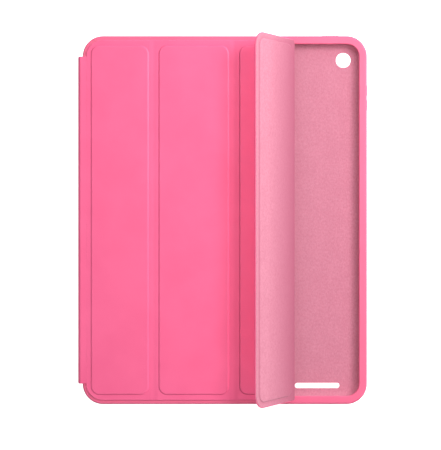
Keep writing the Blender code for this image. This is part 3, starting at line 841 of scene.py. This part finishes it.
def lining_section():
    """(inset, height) points of the tray's lining: its seen face, then its hidden one."""
    top = TRAY_HIGH.z
    back = (BACK_EDGE_R, BACK_EDGE_R)
    reach = LIP_WIDTH - OPENING_EDGE_R
    corner = (WALL + LINING_CORNER_R, top - WALL - LINING_CORNER_R)
    seen = [(BACK_MIDDLE, WALL), (BACK_FLAT, WALL)]
    seen += arc(back, BACK_EDGE_R - WALL, 270, 180, 12)
    seen += arc(corner, LINING_CORNER_R, 180, 90, 4) + [(reach, top - WALL)]
    hidden = WALL - LINING_PLY
    behind = arc(back, BACK_EDGE_R - hidden, 270, 180, 8)
    behind += [(hidden, top - hidden), (reach, top - hidden)]
    return seen + behind[::-1] + [(BACK_MIDDLE, hidden)]


# ---------------------------------------------------------------- openings and pads

RIGHT, FORWARD, BACKWARD, DOWN = (1, 0, 0), (0, 1, 0), (0, -1, 0), (0, 0, -1)
PADS = {
    "sleep_button_pad": ("sleep_button", FORWARD),
    "volume_up_pad": ("volume_up", RIGHT),
    "volume_down_pad": ("volume_down", RIGHT),
}
PAD_GAP = 0.25 * MM
# (mm over the wall, mm in from the pad's outline), from a pad's top down to its root
PAD_DOME = ((0.42, 1.3), (0.42, 0.9), (0.40, 0.5), (0.34, 0.22), (0.24, 0.06), (0.08, -0.1), (-0.1, -0.16))
PAD_STEPS = 10
PAD_FLARE, SMALL_FLARE, OPENING_FLARE, NO_FLARE = 0.12 * MM, 0.2 * MM, 0.35 * MM, 0.01 * MM
FLARE_STOPS = (0.0, 0.12, 0.3, 0.6, 1.0)
CUTTER_DEPTH = 3.0 * MM
CUTTER_STEPS = 8

CONTROL_DEPTH = 3.3 * MM        # below the tray's top, to the middle of the switch and microphone
SOCKET_DEPTH = 5.0 * MM         # below the tray's top, to the middle of the sockets
SWITCH_LENGTH, SWITCH_HEIGHT, SWITCH_FROM_VOLUME = 9.0 * MM, 3.2 * MM, 13.5 * MM
HEADPHONE_DIAMETER, HEADPHONE_FROM_SPINE = 5.8 * MM, 24.15 * MM
MICROPHONE_DIAMETER = 1.8 * MM
CONNECTOR_LENGTH, CONNECTOR_HEIGHT = 30.0 * MM, 4.6 * MM
CAMERA_DIAMETER, CAMERA_FROM_RIGHT, CAMERA_FROM_TOP = 10.0 * MM, 14.65 * MM, 14.7 * MM
SPEAKER_LENGTH, SPEAKER_HEIGHT = 30.0 * MM, 3.6 * MM
SPEAKER_FROM_RIGHT, SPEAKER_FROM_BOTTOM = 32.15 * MM, 10.9 * MM


def facing_turn(facing):
    """Turns +z to face out of a wall, and keeps +x along the opening's length."""
    if facing[2] < 0:
        return Matrix.Rotation(math.radians(180), 4, "X")
    turn = Vector((0, 0, 1)).rotation_difference(Vector(facing)).to_matrix().to_4x4()
    if facing[0]:
        turn = turn @ Matrix.Rotation(math.radians(90), 4, "Z")
    return turn


def slug(length, height, centre, facing, flare):
    """(points, faces) of a round-ended cutter that widens at the wall's surface, for a rounded rim."""
    stops = [(CUTTER_DEPTH, flare)]
    for share in FLARE_STOPS:
        gap = flare * (1 - share)
        stops.append((-flare * share, flare - math.sqrt(max(flare * flare - gap * gap, 0.0))))
    stops.append((-CUTTER_DEPTH, 0.0))
    matrix = Matrix.Translation(centre) @ facing_turn(facing)
    points = []
    for out, grow in stops:
        flat = round_ended(length / 2 + grow, height / 2 + grow, CUTTER_STEPS)
        points += [matrix @ Vector((x, y, out)) for x, y in flat]
    return points, loft_faces(len(stops), len(flat))


def pad_face(node):
    """Centre of a pad on the wall's surface, and its length and height."""
    low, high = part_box(node)
    middle = (low + high) / 2
    if PADS[node][1] == RIGHT:
        return Vector((TRAY_HIGH.x, middle.y, middle.z)), high.y - low.y, high.z - low.z
    return Vector((middle.x, TRAY_HIGH.y, middle.z)), high.x - low.x, high.z - low.z


def openings():
    """Every hole in the tray as (length, height, centre, facing, flare)."""
    right, top = TRAY_HIGH.x, TRAY_HIGH.y
    control_z = TRAY_HIGH.z - CONTROL_DEPTH
    socket_z = TRAY_HIGH.z - SOCKET_DEPTH
    switch = Vector((right, pad_face("volume_up_pad")[0].y + SWITCH_FROM_VOLUME, control_z))
    headphone = Vector((HEADPHONE_FROM_SPINE - right, top, socket_z))
    microphone = Vector((0, top, control_z))
    connector = Vector((0, -top, socket_z))
    camera = Vector((right - CAMERA_FROM_RIGHT, top - CAMERA_FROM_TOP, 0))
    speaker = Vector((right - SPEAKER_FROM_RIGHT, SPEAKER_FROM_BOTTOM - top, 0))
    holes = []
    for node, (_, facing) in PADS.items():
        centre, length, height = pad_face(node)
        holes.append((length + 2 * PAD_GAP, height + 2 * PAD_GAP, centre, facing, PAD_FLARE))
    return holes + [
        (SWITCH_LENGTH, SWITCH_HEIGHT, switch, RIGHT, OPENING_FLARE),
        (HEADPHONE_DIAMETER, HEADPHONE_DIAMETER, headphone, FORWARD, OPENING_FLARE),
        (MICROPHONE_DIAMETER, MICROPHONE_DIAMETER, microphone, FORWARD, SMALL_FLARE),
        (CONNECTOR_LENGTH, CONNECTOR_HEIGHT, connector, BACKWARD, OPENING_FLARE),
        (CAMERA_DIAMETER, CAMERA_DIAMETER, camera, DOWN, OPENING_FLARE),
        (SPEAKER_LENGTH, SPEAKER_HEIGHT, speaker, DOWN, OPENING_FLARE),
    ]


def pierce(target, flared):
    """Cuts every opening out of a tray layer and keeps the result as its mesh."""
    points, faces = [], []
    for length, height, centre, facing, flare in openings():
        slug_points, slug_faces = slug(length, height, centre, facing, flare if flared else NO_FLARE)
        faces += [tuple(len(points) + i for i in face) for face in slug_faces]
        points += slug_points
    cutter = closed_piece("opening_cutter", points, faces, TRAY_SKIN)
    hole = target.modifiers.new("Openings", "BOOLEAN")
    hole.operation = "DIFFERENCE"
    hole.solver = "EXACT"
    hole.object = cutter
    depsgraph = bpy.context.evaluated_depsgraph_get()
    mesh = bpy.data.meshes.new_from_object(target.evaluated_get(depsgraph))
    target.modifiers.clear()
    target.data = mesh
    mesh.shade_smooth()
    mesh.set_sharp_from_angle(angle=SMOOTH_ANGLE)
    bpy.data.objects.remove(cutter, do_unlink=True)


def build_tray():
    """The tray's skin and lining, with every opening cut through them."""
    skin = tray_shell("tray_outer_skin", skin_section(), TRAY_SKIN)
    lining = tray_shell("tray_inner_lining", lining_section(), TRAY_LINING)
    for piece, node, slot, flared in ((skin, "tray_skin", "outer_skin", True),
                                      (lining, "tray_lining", "lining", False)):
        pierce(piece, flared)
        stand_for(piece, node, slot, "tray")


def build_pads():
    """Press pads with softly domed faces."""
    for node, (body, facing) in PADS.items():
        centre, length, height = pad_face(node)
        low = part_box(node)[0]
        root = (TRAY_HIGH.x - low.x) if facing == RIGHT else (TRAY_HIGH.y - low.y)
        stops = [(out * MM, inset * MM) for out, inset in PAD_DOME]
        stops.append((-root, stops[-1][1]))
        matrix = Matrix.Translation(centre) @ facing_turn(facing)
        points = []
        for out, inset in stops:
            flat = round_ended(length / 2 - inset, height / 2 - inset, PAD_STEPS)
            points += [matrix @ Vector((x, y, out)) for x, y in flat]
        faces = loft_faces(len(stops), len(flat))
        pad = closed_piece(node.replace("_pad", "_bump"), points, faces, TRAY_SKIN)
        stand_for(pad, node, "outer_skin", body)


def finish_hidden_parts():
    """Materials of the rigid parts that keep their CAD shapes."""
    plastic = moulded_plastic("tray_core_plastic")
    board = fibre_board("panel_board_fibre")
    steel = bare_metal("strip_rolled_steel", STEEL_COLOUR, (0.25, 0.45), (1.0, 0.05, 1.0))
    nickel = bare_metal("magnet_nickel", NICKEL_COLOUR, (0.15, 0.35), (1.0, 1.0, 0.3))
    finishes = {"tray_core": plastic, "stiffener": board, "strip_steel": steel, "magnet": nickel}
    for part in frame["record"]["subparts"]:
        finish = finishes.get(part["material_slot"])
        if finish:
            materials = NODES[part["node"]].data.materials
            materials.clear()
            materials.append(finish)


# ---------------------------------------------------------------- stage, light and camera

FLOOR_HALF = 3.0
FLOOR_DROP = 13.0 * MM          # keeps the floor clear of the parts that swing below the back
FLOOR_GLOW = (0.10, 0.75)       # emission for the case's sake, and as the camera sees it
WORLD_GLOW = (0.23, 1.0)
# place, side of the square, power in watts, and whether it casts shadows
LAMPS = {
    "top_softbox": ((-0.06, 0.34, 0.98), 1.1, 3.1, True),
    "key": ((0.42, 0.22, 0.84), 0.30, 4.0, True),
    "rim": ((0.68, 0.44, 0.46), 0.4, 7.4, False),
}
CAMERA_PLACE = (-1.19 * MM, -0.27 * MM, 762.7 * MM)
CAMERA_SENSOR, CAMERA_LENS = 36.0, 90.78
CAMERA_SHIFT = (-0.0056, -0.0100)


def camera_switch(tree, glow):
    """The first value for all rays but the camera's, and the second for those."""
    path = add_node(tree, "ShaderNodeLightPath").outputs["Is Camera Ray"]
    return remap(tree, path, (0.0, 1.0), glow)


def build_stage():
    """A white floor, seen through from below so that the back can be looked at."""
    floor_mesh = bpy.data.meshes.new("floor")
    bm = bmesh.new()
    bmesh.ops.create_grid(bm, x_segments=2, y_segments=2, size=FLOOR_HALF)
    bm.to_mesh(floor_mesh)
    bm.free()
    floor = bpy.data.objects.new("floor", floor_mesh)
    floor.location.z = -FLOOR_DROP
    bpy.context.scene.collection.objects.link(floor)
    made, tree, shader = shader_tree("white_sweep")
    shader.inputs["Base Color"].default_value = (0.9, 0.9, 0.9, 1.0)
    shader.inputs["Roughness"].default_value = 0.9
    shader.inputs["Emission Color"].default_value = (1.0, 1.0, 1.0, 1.0)
    tree.links.new(camera_switch(tree, FLOOR_GLOW), shader.inputs["Emission Strength"])
    behind = add_node(tree, "ShaderNodeNewGeometry").outputs["Backfacing"]
    seen = add_node(tree, "ShaderNodeMixShader", {0: behind, 1: shader.outputs["BSDF"]})
    clear = add_node(tree, "ShaderNodeBsdfTransparent")
    tree.links.new(clear.outputs["BSDF"], seen.inputs[2])
    tree.links.new(seen.outputs["Shader"], tree.nodes["Material Output"].inputs["Surface"])
    floor_mesh.materials.append(made)


def build_light():
    """An even white world and three square lamps that point at the tray's middle."""
    world = bpy.data.worlds.new("studio")
    bpy.context.scene.world = world
    world.use_nodes = True
    background = world.node_tree.nodes["Background"]
    glow = camera_switch(world.node_tree, WORLD_GLOW)
    world.node_tree.links.new(glow, background.inputs["Strength"])
    background.inputs["Color"].default_value = (1.0, 1.0, 1.0, 1.0)
    for name, (place, size, power, shadow) in LAMPS.items():
        data = bpy.data.lights.new(name, "AREA")
        data.shape = "RECTANGLE"
        data.size = data.size_y = size
        data.energy = power
        data.use_shadow = shadow
        lamp = bpy.data.objects.new(name, data)
        lamp.location = place
        lamp.rotation_euler = (-Vector(place)).to_track_quat("-Z", "Y").to_euler()
        bpy.context.scene.collection.objects.link(lamp)


def build_camera():
    """Straight above the case, looking down."""
    data = bpy.data.cameras.new("camera")
    data.sensor_width = CAMERA_SENSOR
    data.lens = CAMERA_LENS
    data.shift_x, data.shift_y = CAMERA_SHIFT
    camera = bpy.data.objects.new("camera", data)
    camera.location = CAMERA_PLACE
    bpy.context.scene.collection.objects.link(camera)
    bpy.context.scene.camera = camera
    bpy.context.scene.view_settings.view_transform = "Standard"


for panel_number in range(1, LAST_PANEL + 1):
    for ply in LAYERS:
        build_panel(panel_number, ply)
for panel_number in range(1, LAST_PANEL):
    for ply in LAYERS:
        build_web(panel_number, ply)
for build in (build_cover_bend, build_spine, build_back_hinge):
    for ply in LAYERS:
        build(ply)
build_flange()
build_tray()
build_pads()
finish_hidden_parts()
build_stage()
build_light()
build_camera()
